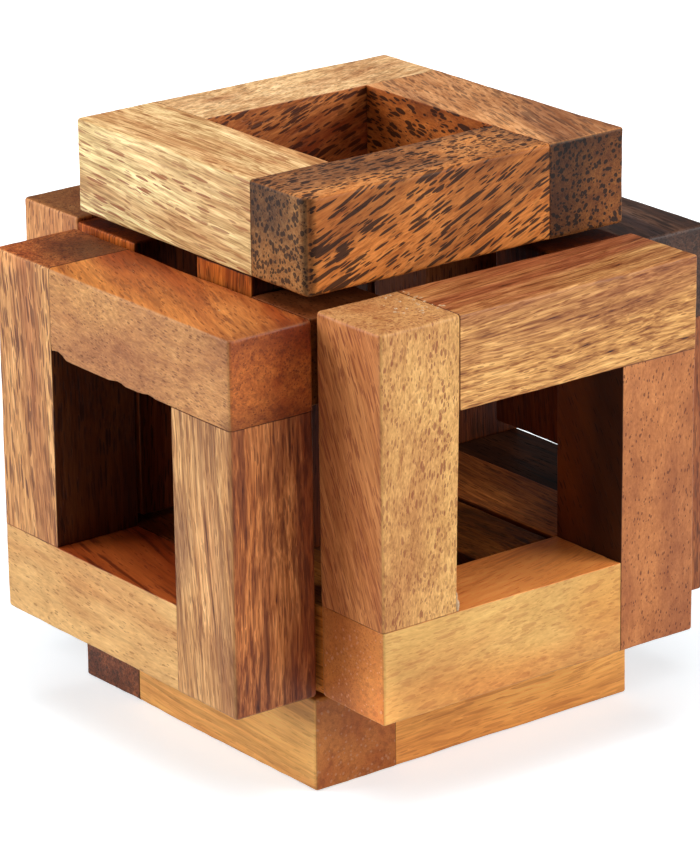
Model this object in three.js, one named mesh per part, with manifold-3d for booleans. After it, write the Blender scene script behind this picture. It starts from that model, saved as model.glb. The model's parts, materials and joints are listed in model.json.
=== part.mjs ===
// Six-frame wooden burr puzzle: a loosely assembled cube, millimetres, +Z up.
// Each of the six frames is a square ring of four sticks laid like a pinwheel, and carries a few
// bars on its inner face that fill part of the hollow core. Every frame slides straight outwards.
// The origin is on the resting plane, under the middle of the cube; the front frame faces -Y.

import * as THREE from 'three';
import Module from 'manifold-3d';
import { RoundedBoxGeometry } from 'three/addons/geometries/RoundedBoxGeometry.js';
import { mergeVertices } from 'three/addons/utils/BufferGeometryUtils.js';

const STICK = 13; // side of the square stick, and the grid that the whole puzzle is laid out on
const INNER_FACE = 2; // a frame's inner face, in sticks from the middle of the cube
const OUTER_FACE = 3; // a frame's outer face, in sticks from the middle of the cube
const HALF_FRAME = 2; // half the outside width of a frame, in sticks
const HALF_WINDOW = 1.03; // half the width of its window, in sticks
const CENTRE_HEIGHT = OUTER_FACE * STICK; // middle of the cube above the resting plane
const OUTER_RADIUS = 0.5; // rounding of a finished frame's outer edges
const BAR_RADIUS = 0.4; // rounding of the bars in the core
const BAR_SLACK = 0.4; // what each free side of a core bar is planed back from the grid
const ROUND_STEPS = 2; // facets in a rounded edge
const CUT_PAST = 1; // how far a cutting box runs past what it cuts, in sticks
const WELD_DISTANCE = 1e-4; // corners nearer than this are one corner

const wasm = await Module();
wasm.setup();

// Wood colours of the sticks, with the roughness of an oiled, hand-sanded face.
const WOODS = {
  cream: [0xdcb877, 0.55],
  honey: [0xcf8f4c, 0.5],
  tan: [0xc79a62, 0.55],
  pinkish: [0xb9774a, 0.52],
  chestnut: [0x8a4a26, 0.5],
  striped: [0xa8683a, 0.5],
  umber: [0x5b3a28, 0.48],
  charcoal: [0x403833, 0.45],
};

// The four sticks of a frame as seen from outside: left, top, right, bottom. Each one covers one
// corner with its end and stops against the side of the next. Ranges are in sticks, in a frame
// that reaches a to each side of its middle and u above and below it. A turned frame was glued up
// face down, so its pinwheel runs the other way round.
function pinwheel([a, u], turned) {
  const w = HALF_WINDOW;
  if (turned) {
    return [
      { across: [-a, -w], up: [-u, w] },
      { across: [-a, w], up: [w, u] },
      { across: [w, a], up: [-w, u] },
      { across: [-w, a], up: [-u, -w] },
    ];
  }
  return [
    { across: [-a, -w], up: [-w, u] },
    { across: [-w, a], up: [w, u] },
    { across: [w, a], up: [-u, w] },
    { across: [-a, w], up: [-u, -w] },
  ];
}

const SIDE_LABELS = ['left_upright', 'top_rail', 'right_upright', 'bottom_rail'];

// right and up span the frame's face as seen from outside. half is half its size along those two,
// as the frames are hand-made and not all square. play is how far the loose frame lies off the
// exact grid, in sticks along X, Y and Z. A bar's depth is counted from the middle of the cube
// outwards, so 1..2 is the layer just behind the frame. The front upper bar was sawn a little
// long, down into an empty cell.
const FRAMES = [
  {
    name: 'bottom',
    right: [1, 0, 0],
    up: [0, -1, 0],
    half: [2.04, HALF_FRAME],
    play: [-0.02, 0, 0],
    turned: false,
    labels: ['left_rail', 'front_rail', 'right_rail', 'back_rail'],
    woods: ['honey', 'honey', 'chestnut', 'umber'],
    bars: [
      { label: 'long_bar', across: [1, 2], up: [-1, 2], depth: [1, 2], wood: 'umber' },
      { label: 'short_bar', across: [0, 1], up: [0, 2], depth: [1, 2], wood: 'pinkish' },
    ],
  },
  {
    name: 'front',
    right: [1, 0, 0],
    up: [0, 0, 1],
    half: [HALF_FRAME, HALF_FRAME],
    play: [-0.01, -0.04, 0.03],
    turned: false,
    labels: SIDE_LABELS,
    woods: ['honey', 'striped', 'pinkish', 'honey'],
    bars: [
      { label: 'upper_bar', across: [1, 2], up: [-0.065, 2], depth: [1, 2], wood: 'chestnut' },
      { label: 'lower_bar', across: [-2, -1], up: [-2, -1], depth: [0, 2], wood: 'honey' },
    ],
  },
  {
    name: 'left',
    right: [0, -1, 0],
    up: [0, 0, 1],
    half: [HALF_FRAME, 1.95],
    play: [-0.03, -0.02, -0.02],
    turned: false,
    labels: SIDE_LABELS,
    woods: ['tan', 'pinkish', 'tan', 'cream'],
    bars: [
      { label: 'upper_block', across: [1, 2], up: [1, 2], depth: [1, 2], wood: 'pinkish' },
      { label: 'lower_bar', across: [-2, 0], up: [-2, -1], depth: [1, 2], wood: 'chestnut' },
    ],
  },
  {
    name: 'back',
    right: [-1, 0, 0],
    up: [0, 0, 1],
    half: [HALF_FRAME, HALF_FRAME],
    play: [0.03, 0.03, 0.02],
    turned: true,
    labels: SIDE_LABELS,
    woods: ['tan', 'striped', 'pinkish', 'chestnut'],
    bars: [
      { label: 'upper_bar', across: [1, 2], up: [-1, 2], depth: [1, 2], wood: 'chestnut' },
      { label: 'lower_bar', across: [-2, -1], up: [-2, 0], depth: [1, 2], wood: 'striped' },
    ],
  },
  {
    name: 'right',
    right: [0, 1, 0],
    up: [0, 0, 1],
    half: [HALF_FRAME, HALF_FRAME],
    play: [0.03, -0.04, -0.08],
    turned: true,
    labels: SIDE_LABELS,
    woods: ['chestnut', 'charcoal', 'umber', 'charcoal'],
    bars: [
      { label: 'upper_bar', across: [1, 2], up: [0, 2], depth: [1, 2], wood: 'umber' },
    ],
  },
  {
    name: 'top',
    right: [1, 0, 0],
    up: [0, 1, 0],
    half: [HALF_FRAME, 1.94],
    play: [0.01, 0.04, 0.09],
    turned: false,
    labels: ['left_rail', 'back_rail', 'right_rail', 'front_rail'],
    woods: ['cream', 'honey', 'umber', 'striped'],
    bars: [
      { label: 'long_leg', across: [-2, -1], up: [-1, 0], depth: [-1, 2], wood: 'chestnut' },
      { label: 'short_leg', across: [1, 2], up: [0, 1], depth: [0, 2], wood: 'pinkish' },
    ],
  },
];

function toSolid(geometry) {
  const bare = geometry.clone();
  bare.deleteAttribute('normal');
  bare.deleteAttribute('uv');
  const merged = mergeVertices(bare, WELD_DISTANCE);
  return new wasm.Manifold(new wasm.Mesh({
    numProp: 3,
    vertProperties: new Float32Array(merged.attributes.position.array),
    triVerts: new Uint32Array(merged.index.array),
  }));
}

function toGeometry(solid) {
  const mesh = solid.getMesh();
  const geometry = new THREE.BufferGeometry();
  geometry.setAttribute('position', new THREE.BufferAttribute(mesh.vertProperties, 3));
  geometry.setIndex(new THREE.BufferAttribute(mesh.triVerts, 1));
  const faceted = geometry.toNonIndexed();
  faceted.computeVertexNormals();
  return faceted;
}

// Box geometry from its ranges, in sticks, along the frame's across, up and outward directions.
function boxFrom(ranges, makeBox) {
  const sizes = ranges.map(([low, high]) => (high - low) * STICK);
  const middles = ranges.map(([low, high]) => ((low + high) / 2) * STICK);
  return makeBox(...sizes).translate(...middles);
}

const plainBox = (x, y, z) => new THREE.BoxGeometry(x, y, z);
const roundedBox = (radius) => (x, y, z) => new RoundedBoxGeometry(x, y, z, ROUND_STEPS, radius);

// A whole frame with its outer edges rounded and its window cut out. The sticks are cut from it,
// so that only edges on the outside of the frame are round and the glued joints stay flush.
function frameBlank([a, u]) {
  const window = [-HALF_WINDOW, HALF_WINDOW];
  const through = [INNER_FACE - CUT_PAST, OUTER_FACE + CUT_PAST];
  const outside = boxFrom([[-a, a], [-u, u], [INNER_FACE, OUTER_FACE]], roundedBox(OUTER_RADIUS));
  const opening = boxFrom([window, window, through], plainBox);
  return toSolid(outside).subtract(toSolid(opening));
}

function stickSolid(blank, stick) {
  const place = [stick.across, stick.up, [INNER_FACE, OUTER_FACE]];
  return blank.intersect(toSolid(boxFrom(place, plainBox)));
}

// A core bar's range along one direction of its frame. The bar lines up with its frame, which
// reaches half to each side, as far as the exact grid allows: it stays BAR_SLACK inside its own
// cells, wherever the loose frame lies.
function fitToGrid([low, high], half, shift) {
  const slack = BAR_SLACK / STICK;
  const start = Math.max(low, -half, low - shift + slack);
  const end = Math.min(high, half, high - shift - slack);
  return [start, end];
}

// A core bar, rounded all over but for its outer end, which is flat and glued to the frame's inner
// face. shift is the frame's play along its own across, up and outward directions.
function barSolid(bar, half, shift) {
  const across = fitToGrid(bar.across, half[0], shift.x);
  const up = fitToGrid(bar.up, half[1], shift.y);
  const [tip] = fitToGrid(bar.depth, INNER_FACE, shift.z);
  const overlong = boxFrom([across, up, [tip, INNER_FACE + CUT_PAST]], roundedBox(BAR_RADIUS));
  const keep = boxFrom([across, up, [tip, INNER_FACE]], plainBox);
  return toSolid(overlong).intersect(toSolid(keep));
}

function woodMesh(name, solid, wood) {
  const [color, roughness] = WOODS[wood];
  const material = new THREE.MeshStandardMaterial({ color, roughness, metalness: 0 });
  const mesh = new THREE.Mesh(toGeometry(solid), material);
  mesh.name = name;
  return mesh;
}

function buildFrame(frame) {
  const group = new THREE.Group();
  const right = new THREE.Vector3(...frame.right);
  const up = new THREE.Vector3(...frame.up);
  const out = new THREE.Vector3().crossVectors(right, up);
  const play = new THREE.Vector3(...frame.play);
  const shift = new THREE.Vector3(play.dot(right), play.dot(up), play.dot(out));
  group.quaternion.setFromRotationMatrix(new THREE.Matrix4().makeBasis(right, up, out));
  group.position.copy(play).multiplyScalar(STICK);
  group.position.z += CENTRE_HEIGHT;
  const blank = frameBlank(frame.half);
  pinwheel(frame.half, frame.turned).forEach((stick, index) => {
    const name = `${frame.name}_${frame.labels[index]}`;
    group.add(woodMesh(name, stickSolid(blank, stick), frame.woods[index]));
  });
  for (const bar of frame.bars) {
    const solid = barSolid(bar, frame.half, shift);
    group.add(woodMesh(`${frame.name}_${bar.label}`, solid, bar.wood));
  }
  return group;
}

const puzzle = new THREE.Group();
for (const frame of FRAMES) puzzle.add(buildFrame(frame));

export default puzzle;
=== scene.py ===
import json
import math
import random

import bmesh
import bpy
import numpy as np
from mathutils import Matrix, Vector


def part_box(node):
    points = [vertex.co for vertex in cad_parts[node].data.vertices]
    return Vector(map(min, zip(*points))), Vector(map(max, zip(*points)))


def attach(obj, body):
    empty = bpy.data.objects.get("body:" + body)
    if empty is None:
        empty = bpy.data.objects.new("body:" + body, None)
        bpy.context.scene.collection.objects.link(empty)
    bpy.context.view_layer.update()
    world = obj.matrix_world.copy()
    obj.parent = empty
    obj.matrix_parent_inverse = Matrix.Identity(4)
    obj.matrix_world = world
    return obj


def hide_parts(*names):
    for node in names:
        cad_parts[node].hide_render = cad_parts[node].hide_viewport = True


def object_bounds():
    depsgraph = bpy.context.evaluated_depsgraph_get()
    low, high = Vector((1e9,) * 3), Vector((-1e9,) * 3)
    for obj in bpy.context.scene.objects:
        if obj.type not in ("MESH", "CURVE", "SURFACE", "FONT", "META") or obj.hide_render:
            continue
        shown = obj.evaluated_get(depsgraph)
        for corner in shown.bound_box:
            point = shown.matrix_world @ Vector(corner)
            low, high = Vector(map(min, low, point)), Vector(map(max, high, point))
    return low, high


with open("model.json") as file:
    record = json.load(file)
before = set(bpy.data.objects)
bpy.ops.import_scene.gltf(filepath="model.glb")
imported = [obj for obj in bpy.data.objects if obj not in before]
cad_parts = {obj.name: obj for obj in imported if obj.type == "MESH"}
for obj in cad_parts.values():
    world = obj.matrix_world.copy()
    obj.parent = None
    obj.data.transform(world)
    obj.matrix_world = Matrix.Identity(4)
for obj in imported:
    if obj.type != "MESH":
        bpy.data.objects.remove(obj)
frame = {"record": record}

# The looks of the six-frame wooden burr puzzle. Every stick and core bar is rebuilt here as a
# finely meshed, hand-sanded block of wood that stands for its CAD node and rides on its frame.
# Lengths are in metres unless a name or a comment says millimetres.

MM = 0.001
cad_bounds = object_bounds()

# ---------------------------------------------------------------- the shape of a stick

OUTER_ROUND = 0.5 * MM  # rounding of a frame's outer edges
BAR_ROUND = 0.4 * MM  # rounding of the bars in the core
ROUND_SWING = 0.4  # how much the sanded rounding comes and goes along an edge, as a share
WINDOW_ROUND = 0.26 * MM  # eased edge round a frame's window
JOINT_ROUND = 0.07 * MM  # groove along a glued joint
JOINT_GAP = 0.015 * MM  # what each side of a glued joint stands back from it
SANDED_DEPTH = 0.07 * MM  # slow rise and fall of a hand-sanded face
SANDED_WAVE = 19 * MM  # how long its waves are
SLOW_SWING, FINE_SWING = 17 * MM, 3 * MM  # waves of the rounding along an outer edge
SLOW_RAGS, FINE_RAGS = 6 * MM, 1.6 * MM  # waves of the rounding along a window's edge
WINDOW_REACH = 0.9 * MM  # how far past its edges a window still shapes the wood
WINDOW_FADE = 0.8 * MM  # width of the band in which that fades
STEP_AT_JOINTS = 0.09 * MM  # most that one stick stands back from its flush neighbour
PLANED_WIDTH = 1.5 * MM  # width of the flat planed along one upright edge
LINE_STEP = 0.95 * MM  # spacing of the mesh lines on a flat face
SAME_PLACE = 0.02 * MM  # two planes nearer than this are one plane
BAR_RUN_ON = 3 * MM  # how far a bar's blank runs on past its glued side
LEAST_ROUND = 1e-9  # stands for no rounding at all, which can't be divided by
SWING_SEED, SANDED_SEED = 5, 11  # of the waves that neighbouring sticks share
WAVES_IN_FIELD = 7  # how many waves a smooth random field is made of
WAVES_SPREAD = 3.2  # about the most that their sum reaches

# Mesh lines beside an edge, as shares of its rounding.
EDGE_LINES = (0.0, 0.1, 0.26, 0.45, 0.68, 0.95, 1.3)
FINE_EDGE_LINES = (0.0, 0.4, 1.0, 1.9)


def edge_lines(outer, radius):
    """How far the mesh lines beside an edge lie from it."""
    if outer:
        return np.array(EDGE_LINES) * radius
    return np.array(FINE_EDGE_LINES) * WINDOW_ROUND


def lines_between(low, high, from_low, from_high):
    """Places of the mesh lines along one side of a block, with those beside its two edges."""
    start = low + from_low
    end = (high - from_high)[::-1]
    count = max(1, round((end[0] - start[-1]) / LINE_STEP))
    middle = np.linspace(start[-1], end[0], count + 1)[1:-1]
    return np.concatenate([start, middle, end])


def block_surface(lines):
    """Lattice places, points and outward quads of a block's surface between its mesh lines."""
    counts = [len(line) for line in lines]
    places = np.indices(counts)
    shell = np.zeros(counts, bool)
    for axis, count in enumerate(counts):
        shell |= (places[axis] == 0) | (places[axis] == count - 1)
    numbers = np.full(counts, -1)
    numbers[shell] = np.arange(shell.sum())
    place = np.stack([places[axis][shell] for axis in range(3)], axis=1)
    points = np.stack([lines[axis][place[:, axis]] for axis in range(3)], axis=1)
    quads = []
    for axis in range(3):
        for far_side in (False, True):
            sheet = np.take(numbers, -1 if far_side else 0, axis=axis)
            corners = [sheet[:-1, :-1], sheet[1:, :-1], sheet[1:, 1:], sheet[:-1, 1:]]
            ring = np.stack([c.ravel() for c in corners], axis=1)
            faces_in = far_side == (axis == 1)
            quads.append(ring[:, ::-1] if faces_in else ring)
    return place, points, np.concatenate(quads)


def waves(points, length, seed):
    """A smooth random field from -1 to 1 whose waves are about this long."""
    draw = np.random.default_rng(seed)
    total = np.zeros(len(points))
    for _ in range(WAVES_IN_FIELD):
        way = draw.normal(size=3)
        way /= np.linalg.norm(way)
        number = 2 * math.pi / (length * draw.uniform(0.6, 1.7))
        total += np.sin(points @ way * number + draw.uniform(0, 2 * math.pi))
    return np.clip(total / WAVES_SPREAD, -1, 1)


def round_off(points, low, high, low_round, high_round):
    """Rounds the edges of the box low..high. Each side has its own rounding, one number a
    point or one for all. Returns the points, and how far each is into an edge, 0 to 1."""
    low_round = np.maximum(low_round, LEAST_ROUND)
    high_round = np.maximum(high_round, LEAST_ROUND)
    nearest = np.clip(points, low + low_round, high - high_round)
    past = points - nearest
    share = np.abs(past) / np.where(past < 0, low_round, high_round)
    length = np.linalg.norm(share, axis=1)
    shrink = np.where(length > 0, share.max(axis=1) / np.maximum(length, 1e-12), 1)
    return nearest + past * shrink[:, None], np.sort(share, axis=1)[:, 1]


def plane_off(points, low, high, signs, width):
    """A flat of this width planed along the upright edge of the box that lies towards signs.
    Returns which points lie on it."""
    corner = np.where(np.array(signs) > 0, high[:2], low[:2])
    inward = (corner - points[:, :2]) * signs
    over = np.maximum(width / math.sqrt(2) - inward.sum(axis=1), 0) / 2
    points[:, :2] -= over[:, None] * signs
    return over > 0


def nearness(points, low, high, share, reach):
    """From 1 at a place in the box, given as shares of it, down to 0 this far off (in mm)."""
    away = (points - (low + (high - low) * share)) / (np.array(reach) * MM)
    return np.clip(1 - (away ** 2).sum(axis=1), 0, 1)[:, None]


# ---------------------------------------------------------------- the wood


def colour(red, green, blue):
    """A colour given as 0 to 255 on a screen, for a shader socket."""
    def linear(part):
        part /= 255
        return part / 12.92 if part <= 0.04045 else ((part + 0.055) / 1.055) ** 2.4

    return (linear(red), linear(green), linear(blue), 1.0)


# pale and deep are the wood's two grounds, fleck the colour of its vessel lines and streaks.
# bands, fibres, flecks, streaks and pores say how strong each of those is: 0 is none.
WOODS = {
    "cream": dict(pale=(240, 200, 140), deep=(205, 145, 85), fleck=(155, 90, 45),
                  bands=1.0, fibres=0.6, flecks=0.9, streaks=0.1, pores=0.5),
    "honey": dict(pale=(230, 165, 90), deep=(195, 120, 60), fleck=(140, 70, 25),
                  bands=0.8, fibres=0.45, flecks=0.5, streaks=0.0, pores=0.8),
    "tan": dict(pale=(220, 155, 100), deep=(175, 110, 65), fleck=(115, 60, 30),
                bands=1.0, fibres=0.6, flecks=0.8, streaks=0.15, pores=0.6),
    "pinkish": dict(pale=(205, 135, 85), deep=(165, 95, 50), fleck=(100, 45, 25),
                    bands=0.7, fibres=0.45, flecks=0.4, streaks=0.05, pores=1.0),
    "chestnut": dict(pale=(170, 95, 45), deep=(120, 55, 30), fleck=(60, 30, 20),
                     bands=0.9, fibres=0.7, flecks=0.6, streaks=0.25, pores=0.7),
    "striped": dict(pale=(205, 130, 70), deep=(160, 90, 45), fleck=(55, 35, 30),
                    bands=0.8, fibres=0.5, flecks=0.3, streaks=0.8, pores=0.5),
    "umber": dict(pale=(140, 85, 55), deep=(90, 50, 35), fleck=(40, 30, 25),
                  bands=1.0, fibres=0.8, flecks=0.5, streaks=0.35, pores=0.7),
    "charcoal": dict(pale=(110, 75, 55), deep=(65, 45, 40), fleck=(30, 25, 25),
                     bands=1.0, fibres=0.8, flecks=0.5, streaks=0.4, pores=0.8),
}

# What sets each stick apart: its wood, the way its fibres run (fibre), the way to its darker
# heartwood (heart, whose length is how marked that is), and any of the wood's own numbers that
# differ. stripes are long dark lines, streak_length is in millimetres, shine is how it mirrors.
# figure is how much of the vessels shows on single faces, and shades are those of the faces that
# don't have the usual ones: partly the wood's own tone, partly painted light on lit faces and
# painted shade on faces in recesses. dusty faces have pale pores. planed is the upright edge
# planed flat.
# stains are paler or darker patches, real marks in the wood on some sticks, and painted light
# and painted shade on others: a place as shares of the stick's box, a reach along X, Y and Z in
# millimetres and a tint. chips are dents in the edges: a place, a reach and a depth.
STICKS = {
    "top_left_rail": dict(
        wood="cream", fibre=(0, 1, 0.07), heart=(0.1, 0, 0.45), pale=(245, 215, 150),
        deep=(210, 155, 95), fleck=(165, 90, 45), bands=1.3, fibres=0.8, flecks=1.0,
        figure={"+Z": 0.75}, shades_and_painted_light={"+Z": (1.05, 0.95, 0.95)},
        stains_and_painted_light=(
            ((0, 0.85, 0.8), (3, 18, 7), (1.15, 1.2, 1.25)),
            ((0, 0.35, 0.3), (3, 9, 4), (0.9, 0.8, 0.75)),
        ),
    ),
    "top_back_rail": dict(
        wood="tan", fibre=(1, 0.2, 0.3), heart=(0, -0.6, -0.4), pale=(250, 200, 140),
        deep=(180, 105, 55), fleck=(85, 45, 25), streaks=0.95, figure={"+Z": 0.25},
        # -Y faces the window and is painted shade, on wood with dark streaks.
        shades_and_painted_light={"-Y": (0.6, 0.3, 0.14)},
    ),
    "top_right_rail": dict(
        wood="striped", fibre=(0.3, 1, 0.1), heart=(0.3, 0, 0.5), pale=(245, 170, 105),
        deep=(165, 105, 65), streaks=0.8, streak_length=14, shine=0.25,
        figure={"+Z": 0.55},
        # -X faces the window and is painted shade; the second stain is painted light towards the
        # +X end of the -Y face.
        shades_and_painted_light={"-X": (0.6, 0.35, 0.16), "-Y": (0.22, 0.17, 0.1), "+Z": (1.05, 1.1, 1.2)},
        stains_and_painted_light=(
            ((0.1, 0, 0.5), (6, 3, 14), (0.55, 0.5, 0.5)),
            ((1, 0, 0.3), (8, 3, 10), (2.0, 1.9, 1.6)),
        ),
    ),
    "top_front_rail": dict(
        wood="striped", fibre=(1, 0.12, 0.42), heart=(0, 0.4, 0.6), pale=(215, 130, 60),
        deep=(125, 75, 40), fleck=(40, 25, 20), streaks=1.0, streak_length=20, shine=0.2,
        planed=(-1, -1), figure={"-X": 0.9},
        # +Z is painted light: a paler, bluer top.
        shades_and_painted_light={"+Z": (1.4, 1.6, 2.1), "-X": (0.65, 0.85, 1.25)},
        stains_and_painted_light=(
            ((0.1, 0, 0.7), (8, 3, 6), (0.75, 0.7, 0.7)),
            ((0.75, 0, 1), (16, 3, 3), (0.75, 0.7, 0.7)),
            ((0.55, 0.6, 1), (9, 5, 3), (0.75, 0.7, 0.7)),
        ),
    ),
    "left_left_upright": dict(
        wood="tan", fibre=(0, 0.06, 1), heart=(0.3, 0.1, 0), pale=(225, 160, 95),
        deep=(180, 110, 60), fibres=0.8, flecks=1.0,
        # -Y, the side facing into the window, is painted shade.
        shades_and_painted_light={"-Y": (0.14, 0.07, 0.03), "+Z": (0.62, 0.38, 0.26)},
        stains_and_painted_light=(
            ((0.65, 0.3, 1), (7, 9, 3), (0.3, 0.28, 0.26)),
            ((0, 0.8, 1), (6, 7, 3), (1.35, 1.3, 1.25)),
        ),
    ),
    "left_top_rail": dict(
        wood="pinkish", fibre=(0.35, 1, 0.08), heart=(0.7, 0, 0.3), pale=(205, 140, 80),
        deep=(160, 80, 35), flecks=0.5, stripes=0.35, pores=0.7, figure={"-X": 0.35},
        shades_and_painted_light={"+Z": (1.15, 0.9, 0.6), "-Y": (1.0, 0.6, 0.3)},
        stains_and_painted_light=(
            ((0, 0.68, 0.22), (3, 17, 5), (0.8, 0.7, 0.7)),
            ((0, 0.9, 0.9), (3, 16, 8), (1.1, 1.15, 1.1)),
            ((0.6, 0, 0.95), (12, 3, 4), (0.7, 0.6, 0.6)),
            ((0.4, 0, 0), (12, 3, 3), (0.6, 0.55, 0.5)),
            ((0.5, 0, 1), (15, 10, 3), (0.8, 0.75, 0.7)),
            ((0.9, 0.9, 1), (6, 9, 3), (0.75, 0.7, 0.65)),
        ),
        chips=(
            ((0, 0.97, 0), (3, 2.4, 1.4), (0.1, 0, 0.8)),
            ((0, 0.62, 0), (2, 1.8, 1.0), (0.1, 0, 0.25)),
            ((0, 0.45, 0), (2, 1.5, 1.0), (0.1, 0, 0.2)),
        ),
    ),
    "left_right_upright": dict(
        wood="tan", fibre=(0, 0.1, 1), heart=(0.7, -0.3, 0), pale=(210, 150, 90),
        deep=(145, 80, 40), bands=1.5, fibres=0.9, flecks=0.7, stripes=0.8, figure={"-X": 0.6},
        shades_and_painted_light={"-Y": (0.95, 0.65, 0.5)},
        stains_and_painted_light=(
            ((0, 0.95, 0.55), (3, 4, 9), (0.65, 0.6, 0.65)),
            ((0, 0.45, 0.5), (3, 3.5, 14), (1.2, 1.2, 1.25)),
            ((0.1, 0, 0.6), (4, 3, 20), (1.1, 1.05, 0.95)),
        ),
    ),
    "left_bottom_rail": dict(
        wood="honey", fibre=(0.2, 1, 0.06), heart=(0.5, 0, 0.1), pale=(235, 180, 110),
        deep=(200, 125, 60), fibres=0.25, flecks=0.1, stripes=0.9, pores=0.6, figure={"-X": 0.15},
        # +Z lies in the window and is painted shade.
        shades_and_painted_light={"+Z": (0.6, 0.22, 0.1)},
    ),
    "front_left_upright": dict(
        wood="honey", fibre=(0.05, 0.4, 1), heart=(-0.5, 0.2, 0), pale=(235, 175, 100),
        deep=(185, 110, 55), fleck=(150, 75, 40), bands=0.45, flecks=0.8,
        # -X, in the corner beside the left frame, is painted shade.
        shades_and_painted_light={"-X": (0.9, 0.7, 0.7), "+Z": (0.85, 0.85, 1.0)},
        chips=(((1, 0, 0), (2.5, 6, 30), (-0.65, 0, 0)),),
    ),
    "front_top_rail": dict(
        wood="honey", fibre=(1, 0.08, 0.03), heart=(0, 0.6, 0.7), pale=(215, 150, 80),
        # +Z is painted light: a paler, bluer top.
        deep=(155, 80, 40), bands=1.0, fibres=1.0, shades_and_painted_light={"+Z": (1.1, 1.2, 1.35)},
    ),
    "front_right_upright": dict(
        wood="pinkish", fibre=(0.1, 0.55, 1), heart=(0.2, 0, -0.1), pale=(210, 130, 70),
        # -X, facing into the window, is painted shade, and the second stain is painted light where
        # that face lies further back.
        deep=(165, 90, 45), fibres=0.3, flecks=0.1, shades_and_painted_light={"-X": (0.1, 0.06, 0.02)},
        stains_and_painted_light=(
            ((0.8, 0, 0.3), (4, 3, 17), (0.8, 0.75, 0.8)),
            ((0, 1, 0.7), (3, 8, 30), (3.0, 3.0, 3.0)),
        ),
    ),
    "front_bottom_rail": dict(
        wood="honey", fibre=(1, 0.2, 0.1), heart=(0.1, 0.3, -0.45), pale=(235, 180, 100),
        deep=(215, 135, 65), fleck=(175, 85, 35), bands=0.35, fibres=0.2, flecks=0.3, streaks=0.2,
        streak_length=12, pores=0.3, dusty=("-X",),
        shades_and_painted_light={"+Z": (1.25, 0.8, 0.65), "-X": (0.95, 0.6, 0.45)},
        stains_and_painted_light=(
            ((0.35, 0, 0.1), (22, 3, 5), (1.0, 0.8, 0.65)),
            ((0.95, 0, 0.6), (9, 3, 7), (1.0, 0.85, 0.7)),
            ((0, 0.8, 0.9), (3, 12, 9), (0.7, 0.6, 0.6)),
            ((0, 0, 0.1), (3, 8, 9), (1.3, 1.35, 1.4)),
        ),
    ),
    "bottom_left_rail": dict(
        wood="honey", fibre=(0, 1, 0.05), heart=(0.2, 0, 0), pale=(255, 190, 105),
        deep=(220, 140, 70), fibres=0.25, flecks=0.05, stripes=0.3, pores=0.25, dusty=("-Y",),
        shades_and_painted_light={"-Y": (0.55, 0.35, 0.25)},
    ),
    "bottom_front_rail": dict(
        wood="honey", fibre=(1, 0, 0.06), heart=(0, 0, 0.3), pale=(255, 180, 90),
        deep=(225, 135, 60), fleck=(170, 80, 30), fibres=0.3, flecks=0.3, streaks=0.25,
        streak_length=14, pores=0.3,
    ),
    "bottom_right_rail": dict(wood="chestnut", fibre=(0, 1, 0.1)),
    "bottom_back_rail": dict(wood="umber", fibre=(1, 0.1, 0), shades_and_painted_light={"-X": (1.2, 1.0, 0.8)}),
    "back_left_upright": dict(wood="tan", fibre=(0.05, 0, 1), heart=(0.2, 0.2, 0)),
    "back_top_rail": dict(wood="striped", fibre=(1, 0, 0.2), heart=(0, 0, 0.4)),
    "back_right_upright": dict(
        wood="pinkish", fibre=(0.04, 0, 1), heart=(0.3, -0.2, 0), pale=(210, 140, 80),
        deep=(170, 95, 50), fibres=0.6, flecks=0.8, shades_and_painted_light={"+Z": (0.45, 0.4, 0.35)},
    ),
    "back_bottom_rail": dict(wood="chestnut", fibre=(1, 0, 0.05)),
    "right_left_upright": dict(wood="chestnut", fibre=(0, 0.1, 1)),
    "right_top_rail": dict(wood="charcoal", fibre=(0.1, 1, 0)),
    "right_right_upright": dict(
        # -Y faces into the window and is painted shade.
        wood="umber", fibre=(0, 0.05, 1), shine=0.1, shades_and_painted_light={"-Y": (0.3, 0.16, 0.06)},
    ),
    "right_bottom_rail": dict(
        # +Z, the sill of the window, is painted shade.
        wood="charcoal", fibre=(0, 1, 0.05), shine=0.1, shades_and_painted_light={"+Z": (0.4, 0.24, 0.14)},
    ),
    # The tops of the two bottom bars are painted light, as lit through the front window.
    "bottom_long_bar": dict(wood="chestnut", fibre=(0.1, 1, 0), shades_and_painted_light={"+Z": (1.45, 1.5, 1.3)}),
    "bottom_short_bar": dict(wood="umber", fibre=(0, 1, 0.2), shades_and_painted_light={"+Z": (1.35, 1.1, 0.35)}),
    "front_upper_bar": dict(wood="chestnut", fibre=(0, 0.1, 1)),
    # -X, seen through the slit between two frames, is painted light.
    "front_lower_bar": dict(wood="honey", fibre=(0, 1, 0), shades_and_painted_light={"-X": (1.0, 0.6, 0.35)}),
    "left_upper_block": dict(
        # +Z, in the gap under the top frame, is painted shade.
        wood="pinkish", fibre=(0.1, 1, 0.5), heart=(0.7, 0, 0.1), shades_and_painted_light={"+Z": (0.3, 0.2, 0.14)},
    ),
    "left_lower_bar": dict(wood="chestnut", fibre=(0.2, 1, 0)),
    "back_upper_bar": dict(
        wood="chestnut", fibre=(0, 0, 1), flecks=0.8,
        # -X is painted light; +Z and the stain are painted shade.
        shades_and_painted_light={"-X": (1.7, 1.4, 0.85), "+Z": (0.5, 0.3, 0.16)},
        stains_and_painted_light=(((0, 0.5, 0.3), (4, 12, 26), (0.24, 0.2, 0.16)),),
    ),
    "back_lower_bar": dict(wood="striped", fibre=(0, 0, 1)),
    "right_upper_bar": dict(wood="umber", fibre=(0, 0, 1)),
    "top_long_leg": dict(
        wood="chestnut", fibre=(0, 0, 1), stripes=0.5,
        # -X is painted light where it shows under the top frame; -Y and the stain are painted
        # shade.
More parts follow.
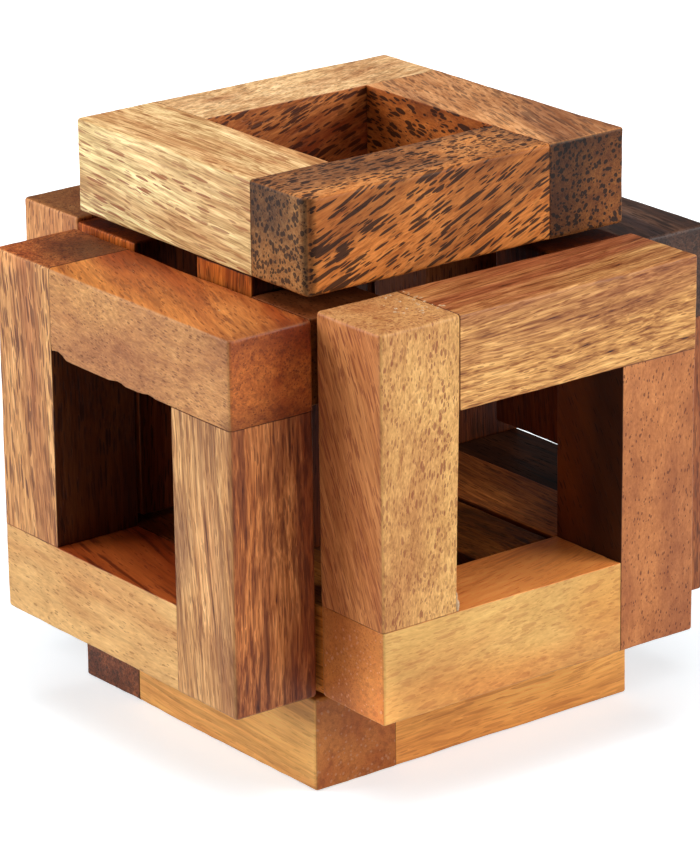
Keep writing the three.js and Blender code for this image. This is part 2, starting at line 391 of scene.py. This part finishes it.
        shades_and_painted_light={"-X": (1.6, 1.4, 0.8), "-Y": (0.3, 0.2, 0.14)},
        stains_and_painted_light=(((0, 0.5, 0.3), (4, 12, 26), (0.24, 0.2, 0.16)),),
    ),
    "top_short_leg": dict(wood="pinkish", fibre=(0, 0, 1)),
}

END_SHADE = (0.66, 0.55, 0.46)  # end grain drinks more oil, so it is this much darker
INNER_PAINTED_SHADE = (0.58, 0.38, 0.22)  # painted shade of window and core faces, on wood also darker where its oil has pooled
BAR_PAINTED_SHADE = (0.38, 0.25, 0.15)  # painted shade of the bars in the core
STICK_SHINE = 0.42  # how much an oiled stick mirrors
BAR_SHINE = 0.12  # how much a dusty bar in the core does
PLANED_SHADE = 0.4  # how much darker the flat of a planed edge is drawn
STRIPE_SHADE = (0.34, 0.22, 0.16, 1.0)  # the wood inside a long dark stripe
FACES = ("-X", "+X", "-Y", "+Y", "-Z", "+Z")

# How long and how wide the features of the wood are, in millimetres.
SWAY, FINE_SWAY = (46, 17), (7, 2.6)
BAND, STRIPE = (85, 5.5), (75, 1.0)
FIBRE, THREAD = (15, 0.8), (5.5, 0.24)
PATCH, ZONE = (12, 7), (34, 4)
FLECK, PORE = (4.6, 0.46), (2.4, 0.36)
STREAK_WIDTH, SHORT_STREAK = 0.72, (5.0, 0.44)
DUST, GLUE_BREAK = (3.0, 0.62), (3, 3)

# How far the fibres sway, in millimetres, and how strong the features are at a setting of 1.
SWAY_BY, FINE_SWAY_BY = (0, 4.5, 4.5), (0, 0.55, 0.55)
BAND_CONTRAST, USUAL_TONE = 3.4, 0.38  # 0 is all pale, 1 all deep
FIBRE_CONTRAST, THREAD_CONTRAST, PATCH_CONTRAST = 2.8, 2.6, 0.6
REDDENING = (0.8, 1.15, 1.5)  # powers of a shade that make deep wood redder
IN_ZONES = 0.65  # share of the flecks' strength that comes and goes in zones
VESSEL_DEPTH, PORE_DEPTH = 0.9, 0.75
DUST_COVER, GLUE_COVER, WORN_COVER = 0.6, 0.6, 0.2
DUST_COLOUR, OLD_GLUE_COLOUR = (250, 220, 190), (58, 32, 20)
SMOOTHEST, FIBRE_ROUGH, PORE_ROUGH = 0.36, 0.22, 0.14
BUMP_HEIGHT, BUMP_STRENGTH, PIT_DEPTH = 0.12 * MM, 0.35, 0.8
WOOD_IOR = 1.46
SCRAMBLE = 37.0  # turns a cell's random number into a second one


class Wiring:
    """Short words for the nodes of one material."""

    def __init__(self, material):
        self.tree = material.node_tree
        self.tree.nodes.clear()

    def node(self, kind, settings=None, **inputs):
        made = self.tree.nodes.new(kind)
        for name, value in (settings or {}).items():
            setattr(made, name, value)
        for name, value in inputs.items():
            self.feed(made.inputs[name.replace("_", " ")], value)
        return made

    def feed(self, socket, value):
        if isinstance(value, bpy.types.NodeSocket):
            self.tree.links.new(value, socket)
        else:
            socket.default_value = value

    def attribute(self, name, output="Fac"):
        return self.node("ShaderNodeAttribute", {"attribute_name": name}).outputs[output]

    def math(self, operation, *values, clamp=False):
        made = self.node("ShaderNodeMath", {"operation": operation, "use_clamp": clamp})
        for socket, value in zip(made.inputs, values):
            self.feed(socket, value)
        return made.outputs[0]

    def off_half(self, value):
        """How far above or below a half it is."""
        return self.math("SUBTRACT", value, 0.5)

    def vector(self, operation, *values):
        made = self.node("ShaderNodeVectorMath", {"operation": operation})
        for socket, value in zip(made.inputs, values):
            self.feed(socket, value)
        return made.outputs["Vector"]

    def step(self, value, start, end):
        """0 before start, 1 after end, and smooth between them."""
        settings = {"interpolation_type": "SMOOTHSTEP"}
        made = self.node("ShaderNodeMapRange", settings, Value=value, From_Min=start, From_Max=end)
        return made.outputs["Result"]

    def stretched(self, vector, along, across):
        """Fibre coordinates in units of a feature this long and this wide, in millimetres."""
        return self.vector("MULTIPLY", vector, (1 / along, 1 / across, 1 / across))

    def noise(self, vector, detail=2.0, roughness=0.5, output="Fac"):
        settings = {"noise_dimensions": "3D"}
        made = self.node("ShaderNodeTexNoise", settings, Vector=vector, Scale=1.0, Detail=detail,
                         Roughness=roughness)
        return made.outputs[output]

    def cells(self, vector):
        """Distance to the middle of the nearest scattered cell, and that cell's own number."""
        made = self.node("ShaderNodeTexVoronoi", {"feature": "F1"}, Vector=vector, Scale=1.0)
        apart = self.node("ShaderNodeSeparateColor", Color=made.outputs["Color"])
        return made.outputs["Distance"], apart.outputs[0]

    def mix(self, factor, first, second, blend="MIX"):
        settings = {"data_type": "RGBA", "blend_type": blend}
        made = self.node("ShaderNodeMix", settings)
        self.feed(made.inputs["Factor"], factor)
        self.feed(made.inputs[6], first)
        self.feed(made.inputs[7], second)
        return made.outputs[2]


def spots(w, fibre, shape, size, amount):
    """Mask of scattered spindle-shaped vessels in cells of this length and width. size is how
    much of a cell the largest fills, amount the share of cells that hold one."""
    distance, number = w.cells(w.stretched(fibre, *shape))
    reach = w.math("MULTIPLY_ADD", number, size * 0.8, size * 0.35)
    inside = w.math("SUBTRACT", reach, distance)
    chance = w.math("FRACT", w.math("MULTIPLY", number, SCRAMBLE))
    drawn = w.math("LESS_THAN", chance, amount)
    return w.math("MULTIPLY", w.step(inside, 0.0, size * 0.16), drawn)


def swayed(w, grain):
    """The fibre coordinates, with the fibres swaying slowly and quickly from side to side."""
    sway = w.noise(w.stretched(grain, *SWAY), 1.0, 0.5, "Color")
    sway = w.vector("SUBTRACT", sway, (0.5, 0.5, 0.5))
    fine_sway = w.noise(w.stretched(grain, *FINE_SWAY), 2.0, 0.5, "Color")
    fine_sway = w.vector("SUBTRACT", fine_sway, (0.5, 0.5, 0.5))
    fibre = w.vector("ADD", grain, w.vector("MULTIPLY", sway, SWAY_BY))
    return w.vector("ADD", fibre, w.vector("MULTIPLY", fine_sway, FINE_SWAY_BY))


def ground_wood(w, grain, fibre, fibres, look):
    """The wood between its vessels: pale and deep bands, fibres, threads and oiled patches."""
    bands = w.off_half(w.noise(w.stretched(fibre, *BAND), 3.0, 0.55))
    tone = w.math("MULTIPLY_ADD", bands, BAND_CONTRAST * look["bands"], USUAL_TONE)
    tone = w.math("ADD", tone, w.attribute("heart"), clamp=True)
    ground = w.mix(tone, colour(*look["pale"]), colour(*look["deep"]))

    threads = w.off_half(w.noise(w.stretched(fibre, *THREAD), 2.0, 0.6))
    patches = w.off_half(w.noise(w.stretched(grain, *PATCH), 2.0, 0.5))
    lines = w.math("MULTIPLY_ADD", w.off_half(fibres), FIBRE_CONTRAST * look["fibres"], 1.0)
    lines = w.math("MULTIPLY_ADD", threads, THREAD_CONTRAST * look["fibres"], lines)
    shade = w.math("MULTIPLY", lines, w.math("MULTIPLY_ADD", patches, PATCH_CONTRAST, 1.0))
    shade = w.node("ShaderNodeCombineXYZ", X=shade, Y=shade, Z=shade).outputs[0]
    return w.vector("MULTIPLY", ground, w.vector("POWER", shade, REDDENING))


def vessels(w, fibre, look):
    """Masks of the dark vessel lines, flecks crowded in zones and bold streaks, then of those
    flecks alone."""
    zones = w.step(w.noise(w.stretched(fibre, *ZONE), 2.0, 0.5), 0.38, 0.62)
    flecks = spots(w, fibre, FLECK, size=0.46, amount=0.9)
    crowding = w.math("MULTIPLY_ADD", zones, IN_ZONES, 1 - IN_ZONES)
    flecks = w.math("MULTIPLY", flecks, crowding)
    flecks = w.math("MULTIPLY", flecks, look["flecks"])
    share = look["streaks"]
    long_streak = (look["streak_length"], STREAK_WIDTH)
    bold = w.math("MAXIMUM", spots(w, fibre, long_streak, size=0.5, amount=0.3 + 0.6 * share),
                  spots(w, fibre, SHORT_STREAK, size=0.5, amount=0.7 * share))
    streaks = w.math("MULTIPLY", bold, min(1.0, 1.6 * share))
    dark = w.math("MULTIPLY", w.math("MAXIMUM", flecks, streaks), w.attribute("figure"))
    return dark, flecks


def wood_material(name, look):
    """Solid wood, drawn from the fibre coordinates and the faces' shades kept in the mesh, painted
    light and shade among them.
    """
    material = bpy.data.materials.new(name)
    material.use_nodes = True
    w = Wiring(material)
    grain = w.attribute("grain", "Vector")
    fibre = swayed(w, grain)
    fibres = w.noise(w.stretched(fibre, *FIBRE), 3.0, 0.6)
    ground = ground_wood(w, grain, fibre, fibres, look)

    # Long stripes, then vessel lines and streaks, then pores.
    dark, flecks = vessels(w, fibre, look)
    pores = spots(w, fibre, PORE, size=0.36, amount=0.7)
    fleck_colour = colour(*look["fleck"])
    stripes = w.step(w.noise(w.stretched(fibre, *STRIPE), 2.0, 0.5), 0.5, 0.64)
    stripe_strength = w.math("MULTIPLY", w.attribute("figure"), look["stripes"])
    striped = w.mix(1.0, ground, STRIPE_SHADE, "MULTIPLY")
    ground = w.mix(w.math("MULTIPLY", stripes, stripe_strength), ground, striped)
    ground = w.mix(w.math("MULTIPLY", dark, VESSEL_DEPTH), ground, fleck_colour)
    ground = w.mix(w.math("MULTIPLY", pores, PORE_DEPTH * look["pores"]), ground, fleck_colour)

    # Dust in the open pores of end grain.
    dust = spots(w, fibre, DUST, size=0.34, amount=0.6)
    dust = w.math("MULTIPLY", dust, w.attribute("dusty"))
    ground = w.mix(w.math("MULTIPLY", dust, DUST_COVER), ground, colour(*DUST_COLOUR))

    # The shade of each face, with its painted light and painted shade, then sanded edges and
    # broken lines of glue.
    ground = w.vector("MULTIPLY", ground, w.attribute("face_tone_and_painted_light", "Vector"))
    worn = w.math("MULTIPLY", w.attribute("worn_edge"), WORN_COVER)
    ground = w.mix(worn, ground, colour(*look["pale"]))
    broken = w.step(w.noise(w.stretched(grain, *GLUE_BREAK), 2.0, 0.5), 0.35, 0.7)
    glue_lines = w.math("MULTIPLY", w.attribute("glue_line"), broken)
    glue_lines = w.math("MULTIPLY", glue_lines, GLUE_COVER)
    ground = w.mix(glue_lines, ground, colour(*OLD_GLUE_COLOUR))

    rough = w.math("MULTIPLY_ADD", fibres, FIBRE_ROUGH, SMOOTHEST)
    rough = w.math("MULTIPLY_ADD", pores, PORE_ROUGH, rough)
    height = w.math("MULTIPLY_ADD", w.math("MAXIMUM", pores, flecks), -PIT_DEPTH, fibres)
    bump = w.node("ShaderNodeBump", Strength=BUMP_STRENGTH, Distance=BUMP_HEIGHT, Height=height)
    shader = w.node("ShaderNodeBsdfPrincipled", Base_Color=ground, Roughness=rough,
                    Normal=bump.outputs["Normal"])
    shader.inputs["IOR"].default_value = WOOD_IOR
    shader.inputs["Specular IOR Level"].default_value = look["shine"]
    output = w.node("ShaderNodeOutputMaterial")
    w.feed(output.inputs["Surface"], shader.outputs["BSDF"])
    return material


# ---------------------------------------------------------------- making a stick


def number_attribute(mesh, name, values):
    layer = mesh.attributes.new(name, "FLOAT", "POINT")
    layer.data.foreach_set("value", np.asarray(values, np.float32))


def vector_attribute(mesh, name, values):
    layer = mesh.attributes.new(name, "FLOAT_VECTOR", "POINT")
    layer.data.foreach_set("vector", np.asarray(values, np.float32).ravel())


def usual_shade(is_bar, is_inner, is_end):
    """The shade of a face that has none of its own: painted shade on inner faces and bars,
    and darker end grain.
    """
    shade = np.ones(3)
    if is_inner:
        shade = shade * (BAR_PAINTED_SHADE if is_bar else INNER_PAINTED_SHADE)
    if is_end:
        shade = shade * END_SHADE
    return shade


def over_faces(values, at_low, at_high):
    """One value for each face, -X +X -Y +Y -Z +Z, taken to the points: each point gets the mean
    of the faces it lies on."""
    total = np.zeros((len(at_low), len(values[0])))
    count = np.zeros((len(at_low), 1))
    for face, value in enumerate(values):
        on_face = (at_low, at_high)[face % 2][:, face // 2]
        total[on_face] += value
        count[on_face] += 1
    return total / count


def fibre_coordinates(points, centre, fibre, seed):
    """Where each point lies in the tree, in millimetres: along the fibres, then across them."""
    draw = random.Random(seed)
    along = Vector(fibre).normalized()
    spin = Vector([draw.uniform(-1, 1) for _ in range(3)])
    side = along.cross(spin).normalized()
    basis = np.array([along, side, along.cross(side)])
    place_in_tree = [draw.uniform(-400, 400) for _ in range(3)]
    return (points - centre) @ basis.T / MM + place_in_tree


def look_of(node, is_bar):
    """A stick's own numbers, on top of its wood's and the usual ones."""
    look = dict(shades_and_painted_light={}, figure={}, stripes=0.0, heart=(0, 0, 0), planed=None, chips=(),
                stains_and_painted_light=(), dusty=(), streak_length=9, shine=BAR_SHINE if is_bar else STICK_SHINE)
    look.update(WOODS[STICKS[node]["wood"]])
    look.update(STICKS[node])
    return look


class Block:
    """A stick or bar on its way to a mesh. Its blank is the box whose edges are rounded: the
    whole frame for a stick, and for a bar the bar itself, which runs on past its glued side.
    window is the frame's middle, half its window and the axis that it faces along."""

    def __init__(self, node, blank_low, blank_high, window, is_bar):
        self.low, self.high = [np.array(corner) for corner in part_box(node)]
        self.frame_middle, self.half_window, self.out_axis = window
        self.is_bar = is_bar
        self.look = look_of(node, is_bar)
        self.seed = sum(ord(letter) * (place + 3) for place, letter in enumerate(node))
        self.free_low = np.abs(self.low - blank_low) < SAME_PLACE
        self.free_high = np.abs(self.high - blank_high) < SAME_PLACE
        self.stand_back()

        radius = BAR_ROUND if is_bar else OUTER_ROUND
        lines = self.mesh_lines(radius)
        place, flat, self.quads = block_surface(lines)
        self.at_low = place == 0
        self.at_high = place == [len(line) - 1 for line in lines]
        self.in_window = self.find_window(flat)
        self.points, self.edge = self.rounded(flat, blank_low, blank_high, radius)
        self.planed = self.cut_details()

    def stand_back(self):
        """Sets each side in a little: a free one by chance, a glued one by the joint's gap."""
        draw = random.Random(self.seed)
        for side, free, inward in ((self.low, self.free_low, 1), (self.high, self.free_high, -1)):
            for axis in range(3):
                back = draw.uniform(0, STEP_AT_JOINTS) if free[axis] else JOINT_GAP
                side[axis] += inward * back

    def mesh_lines(self, radius):
        """Places of the mesh lines along the three sides."""
        lines = []
        for axis in range(3):
            from_low = edge_lines(self.free_low[axis], radius)
            from_high = edge_lines(self.free_high[axis], radius)
            lines.append(lines_between(self.low[axis], self.high[axis], from_low, from_high))
        return lines

    def find_window(self, flat):
        """How much each point is at the window, from 0 to 1. All of a bar counts as that."""
        if self.is_bar:
            return np.ones(len(flat))
        across = [axis for axis in range(3) if axis != self.out_axis]
        off_middle = np.abs(flat - self.frame_middle)[:, across].max(axis=1)
        return np.clip((self.half_window + WINDOW_REACH - off_middle) / WINDOW_FADE, 0, 1)

    def rounded(self, flat, blank_low, blank_high, radius):
        """The points with their edges rounded, and how far each one is into an outer edge. Of
        the inner edges, those of the window are wide and ragged and those of joints narrow."""
        ragged = 1 + 0.55 * waves(flat, FINE_RAGS, self.seed)
        ragged += 0.3 * waves(flat, SLOW_RAGS, self.seed + 1)
        widest = WINDOW_ROUND * np.clip(ragged, 0.2, 2)
        inner = (JOINT_ROUND + (widest - JOINT_ROUND) * self.in_window)[:, None]
        points, _ = round_off(flat, self.low, self.high, np.where(self.free_low, 0, inner),
                              np.where(self.free_high, 0, inner))
        swing = 0.7 * waves(flat, SLOW_SWING, SWING_SEED)
        swing += 0.3 * waves(flat, FINE_SWING, self.seed)
        outer = (radius * (1 + ROUND_SWING * swing))[:, None]
        low = np.where(self.free_low, self.low, blank_low)
        high = np.where(self.free_high, self.high, blank_high)
        return round_off(points, low, high, outer, outer)

    def cut_details(self):
        """Sands the faces, then planes and chips the edges. Returns which points are planed."""
        points = self.points
        for axis in range(3):
            points[:, axis] += SANDED_DEPTH / 2 * waves(points, SANDED_WAVE, SANDED_SEED + axis)
        planed = np.zeros(len(points), bool)
        if self.look["planed"]:
            planed = plane_off(points, self.low, self.high, self.look["planed"], PLANED_WIDTH)
        for share, reach, depth in self.look["chips"]:
            near = nearness(points, self.low, self.high, share, reach)
            points += near ** 1.5 * np.array(depth) * MM
        points[:, 2] = np.maximum(points[:, 2], 0)
        return planed

    def shades_and_figure(self):
        """The shade of each face, with its painted light and painted shade, and how much of the
        figure shows on it.
        """
        grain_axis = int(np.argmax(np.abs(self.look["fibre"])))
        faces_out = self.frame_middle[self.out_axis] > blank_centre(self.out_axis)
        core_side = FACES.index(("-" if faces_out else "+") + "XYZ"[self.out_axis])
        shades_and_painted_light, figure = [], []
        for number, face in enumerate(FACES):
            axis = number // 2
            free = (self.free_low, self.free_high)[number % 2][axis]
            is_inner = self.is_bar or not free or number == core_side
            usual = usual_shade(self.is_bar, is_inner, axis == grain_axis)
            shades_and_painted_light.append(self.look["shades_and_painted_light"].get(face, usual))
            figure.append([self.look["figure"].get(face, 1.0)])
        return shades_and_painted_light, figure

    def paint(self, mesh):
        """Keeps in the mesh what its material needs: fibre coordinates, shades and masks."""
        centre = (self.low + self.high) / 2
        grain = fibre_coordinates(self.points, centre, self.look["fibre"], self.seed)
        vector_attribute(mesh, "grain", grain)
        off_centre = (self.points - centre) / (self.high - self.low).min()
        number_attribute(mesh, "heart", off_centre @ np.array(self.look["heart"]))

        # Each face's shade: its tone with painted light and painted shade, then the darker planed
        # flat and the patches.
        shades_and_painted_light, figure = self.shades_and_figure()
        shade = over_faces(shades_and_painted_light, self.at_low, self.at_high)
        shade[self.planed] *= PLANED_SHADE
        for share, reach, tint in self.look["stains_and_painted_light"]:
            near = nearness(self.points, self.low, self.high, share, reach)
            shade *= 1 + near * (np.array(tint) - 1)
        vector_attribute(mesh, "face_tone_and_painted_light", shade)
        dusty = [[float(face in self.look["dusty"])] for face in FACES]
        for name, values in (("figure", figure), ("dusty", dusty)):
            number_attribute(mesh, name, over_faces(values, self.at_low, self.at_high).ravel())

        glued = (self.at_low & ~self.free_low) | (self.at_high & ~self.free_high)
        number_attribute(mesh, "glue_line", glued.any(axis=1) & (self.in_window < 0.5))
        number_attribute(mesh, "worn_edge", np.clip(self.edge * 1.2, 0, 1) ** 2)


def make_wood(node, body, blank_low, blank_high, window, is_bar):
    """One stick or bar as a piece of its own, in the place of its CAD node."""
    block = Block(node, blank_low, blank_high, window, is_bar)
    mesh = bpy.data.meshes.new("wood_" + node)
    mesh.from_pydata(block.points.tolist(), [], block.quads.tolist())
    mesh.shade_smooth()
    block.paint(mesh)
    mesh.materials.append(wood_material("wood_" + node, block.look))
    piece = bpy.data.objects.new("wood_" + node, mesh)
    bpy.context.scene.collection.objects.link(piece)
    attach(piece, body)
    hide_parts(node)


def blank_centre(axis):
    """The middle of the whole puzzle along one axis."""
    return (cad_bounds[0][axis] + cad_bounds[1][axis]) / 2


def make_frame(body, nodes):
    """The four glued sticks of a frame, cut from one rounded blank, then its core bars."""
    sticks = [n for n in nodes if n.endswith(("rail", "upright"))]
    corners = [[np.array(c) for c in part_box(n)] for n in sticks]
    low = np.min([c[0] for c in corners], axis=0)
    high = np.max([c[1] for c in corners], axis=0)
    out_axis = int(np.argmin(high - low))
    middle = (low + high) / 2
    stick_width = (high - low)[out_axis]  # half the window is about as wide as a stick
    window = (middle, stick_width, out_axis)
    for node in sticks:
        make_wood(node, body, low, high, window, is_bar=False)
    for node in nodes:
        if node in sticks:
            continue
        bar_low, bar_high = [np.array(c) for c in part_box(node)]
        if middle[out_axis] > blank_centre(out_axis):
            bar_high[out_axis] += BAR_RUN_ON
        else:
            bar_low[out_axis] -= BAR_RUN_ON
        make_wood(node, body, bar_low, bar_high, window, is_bar=True)


for body, nodes in frame["record"]["behaviour"]["bodies"].items():
    make_frame(body, nodes)

# ---------------------------------------------------------------- glue crumbs


def glue_material():
    """Pale, dull, dried wood glue mixed with sanding dust."""
    material = bpy.data.materials.new("dry_glue")
    material.use_nodes = True
    w = Wiring(material)
    place = w.node("ShaderNodeTexCoord").outputs["Object"]
    mottle = w.noise(w.vector("SCALE", place, (0, 0, 0), (0, 0, 0), 1 / (0.3 * MM)))
    tone = w.mix(mottle, colour(190, 144, 98), colour(230, 198, 160))
    shader = w.node("ShaderNodeBsdfPrincipled", Base_Color=tone, Roughness=0.8)
    output = w.node("ShaderNodeOutputMaterial")
    w.feed(output.inputs["Surface"], shader.outputs["BSDF"])
    return material


def add_crumb(shape, draw, centre, radii):
    """One irregular rounded crumb, half sunk in the wood at its centre."""
    made = bmesh.ops.create_icosphere(shape, subdivisions=2, radius=1)
    for vertex in made["verts"]:
        bulge = 1 + draw.uniform(-0.16, 0.16)
        vertex.co = Vector([c + r * bulge * v for c, r, v in zip(centre, radii, vertex.co)])


def make_crumbs(name, body, crumbs, seed):
    """Crumbs of dried glue as one piece. crumbs is a list of (centre, radii), in metres."""
    draw = random.Random(seed)
    shape = bmesh.new()
    for centre, radii in crumbs:
        add_crumb(shape, draw, centre, radii)
    mesh = bpy.data.meshes.new(name)
    shape.to_mesh(mesh)
    shape.free()
    mesh.shade_smooth()
    mesh.materials.append(glue)
    piece = bpy.data.objects.new(name, mesh)
    bpy.context.scene.collection.objects.link(piece)
    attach(piece, body)


def scattered(node, count, x_range, y_range, largest, seed):
    """Crumbs strewn over part of a stick's top. The ranges are in millimetres."""
    draw = random.Random(seed)
    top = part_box(node)[1][2] - STEP_AT_JOINTS
    crumbs = []
    for _ in range(count):
        x = draw.triangular(*x_range, x_range[1]) * MM
        y = draw.uniform(*y_range) * MM
        size = draw.uniform(0.3, 1.0) * largest
        crumbs.append(((x, y, top), (size, size * draw.uniform(0.6, 1.2), size * 0.6)))
    return crumbs


def glue_drop(node):
    """A drop that ran down the outer corner of this stick: a round end below, a tail above."""
    low, high = [Vector(corner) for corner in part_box(node)]
    foot = Vector((high.x, low.y, low.z))
    end = foot + Vector((-0.5, 0.25, 0.8)) * MM
    tail = foot + Vector((-0.65, 0.3, 2.0)) * MM
    return [(end, (0.32 * MM, 0.3 * MM, 0.85 * MM)), (tail, (0.2 * MM, 0.25 * MM, 0.9 * MM))]


glue = glue_material()
crumbs = scattered("front_left_upright", 46, (-20, -12.6), (-36, -27.2), 0.26 * MM, seed=4)
crumbs += glue_drop("front_left_upright")
make_crumbs("front_glue", "front_frame", crumbs, seed=8)
dust = scattered("left_left_upright", 7, (-38, -28), (15, 24), 0.13 * MM, seed=2)
dust += scattered("left_top_rail", 9, (-38, -28), (-24, 12), 0.12 * MM, seed=3)
make_crumbs("left_dust", "left_frame", dust, seed=9)

# ---------------------------------------------------------------- floor, light and camera


WHITE = (1, 1, 1, 1)
FLOOR_COLOUR = (0.72, 0.79, 0.84, 1)
FLOOR_HALF = 3.0
FLOOR_BELOW = 0.05 * MM  # how far the floor lies under the resting plane
FLOOR_GLOW = ((0.05, 0.55), (0.35, 1.0))  # how far from the middle, and how bright there
ROOM_LIGHT = 0.12  # what the bright room adds to the lamps
BACKDROP = 1.05  # the brightness that the camera sees behind the floor


def make_floor():
    """A large, almost white sheet under the puzzle, which glows of itself further off."""
    half = FLOOR_HALF
    corners = [(-half, -half, 0), (half, -half, 0), (half, half, 0), (-half, half, 0)]
    mesh = bpy.data.meshes.new("floor")
    mesh.from_pydata(corners, [], [(0, 1, 2, 3)])
    material = bpy.data.materials.new("floor")
    material.use_nodes = True
    w = Wiring(material)
    place = w.node("ShaderNodeTexCoord").outputs["Object"]
    off = w.node("ShaderNodeVectorMath", {"operation": "LENGTH"})
    w.feed(off.inputs[0], place)
    (near, near_glow), (far, far_glow) = FLOOR_GLOW
    glow = w.node("ShaderNodeMapRange", Value=off.outputs["Value"], From_Min=near, From_Max=far,
                  To_Min=near_glow, To_Max=far_glow)
    seen = w.node("ShaderNodeLightPath").outputs["Is Camera Ray"]
    glow = w.math("MULTIPLY", glow.outputs["Result"], seen)
    shader = w.node("ShaderNodeBsdfPrincipled", Base_Color=FLOOR_COLOUR, Roughness=0.6,
                    Emission_Color=WHITE, Emission_Strength=glow)
    output = w.node("ShaderNodeOutputMaterial")
    w.feed(output.inputs["Surface"], shader.outputs["BSDF"])
    mesh.materials.append(material)
    floor = bpy.data.objects.new("floor", mesh)
    floor.location.z = -FLOOR_BELOW
    bpy.context.scene.collection.objects.link(floor)


def make_lamp(name, place, size, power):
    """A square softbox at this place, aimed at the puzzle."""
    lamp = bpy.data.lights.new(name, "AREA")
    lamp.size = size
    lamp.energy = power
    softbox = bpy.data.objects.new(name, lamp)
    softbox.location = place
    aim = puzzle_middle - Vector(place)
    softbox.rotation_euler = aim.to_track_quat("-Z", "Y").to_euler()
    bpy.context.scene.collection.objects.link(softbox)


def make_world():
    """A white backdrop as the camera sees it, which lights the puzzle only dimly."""
    world = bpy.data.worlds.new("studio")
    world.use_nodes = True
    nodes, links = world.node_tree.nodes, world.node_tree.links
    lit, seen = nodes["Background"], nodes.new("ShaderNodeBackground")
    for background, strength in ((lit, ROOM_LIGHT), (seen, BACKDROP)):
        background.inputs["Color"].default_value = WHITE
        background.inputs["Strength"].default_value = strength
    either = nodes.new("ShaderNodeMixShader")
    path = nodes.new("ShaderNodeLightPath")
    links.new(path.outputs["Is Camera Ray"], either.inputs[0])
    links.new(lit.outputs[0], either.inputs[1])
    links.new(seen.outputs[0], either.inputs[2])
    links.new(either.outputs[0], nodes["World Output"].inputs["Surface"])
    bpy.context.scene.world = world


def make_camera():
    """Looks from the left and above, as far off as a long lens needs."""
    azimuth, elevation, roll = math.radians(37.5), math.radians(19.25), math.radians(-0.73)
    distance = 0.6013
    off_middle = Vector((-0.74, -0.21, -1.76)) * MM
    aim = puzzle_middle + off_middle
    level = math.cos(elevation)
    ahead = Vector((math.sin(azimuth) * level, math.cos(azimuth) * level, -math.sin(elevation)))
    data = bpy.data.cameras.new("camera")
    data.sensor_width = 36
    data.lens = 189.4
    data.clip_start, data.clip_end = 0.01, 20
    camera = bpy.data.objects.new("camera", data)
    camera.location = aim - ahead * distance
    turn = ahead.to_track_quat("-Z", "Y").to_matrix()
    camera.rotation_euler = turn.to_euler()
    camera.rotation_euler.rotate_axis("Z", roll)
    bpy.context.scene.collection.objects.link(camera)
    bpy.context.scene.camera = camera


puzzle_middle = Vector((0, 0, 39 * MM))
make_floor()
make_world()
make_lamp("left_softbox", (-0.80, 0.55, 0.42), size=0.6, power=7.5)
make_lamp("right_softbox", (0.58, -0.80, 0.42), size=0.6, power=7.4)
make_lamp("top_softbox", (-0.1, -0.1, 1.1), size=0.7, power=6.2)
make_camera()
bpy.context.scene.view_settings.view_transform = "Standard"
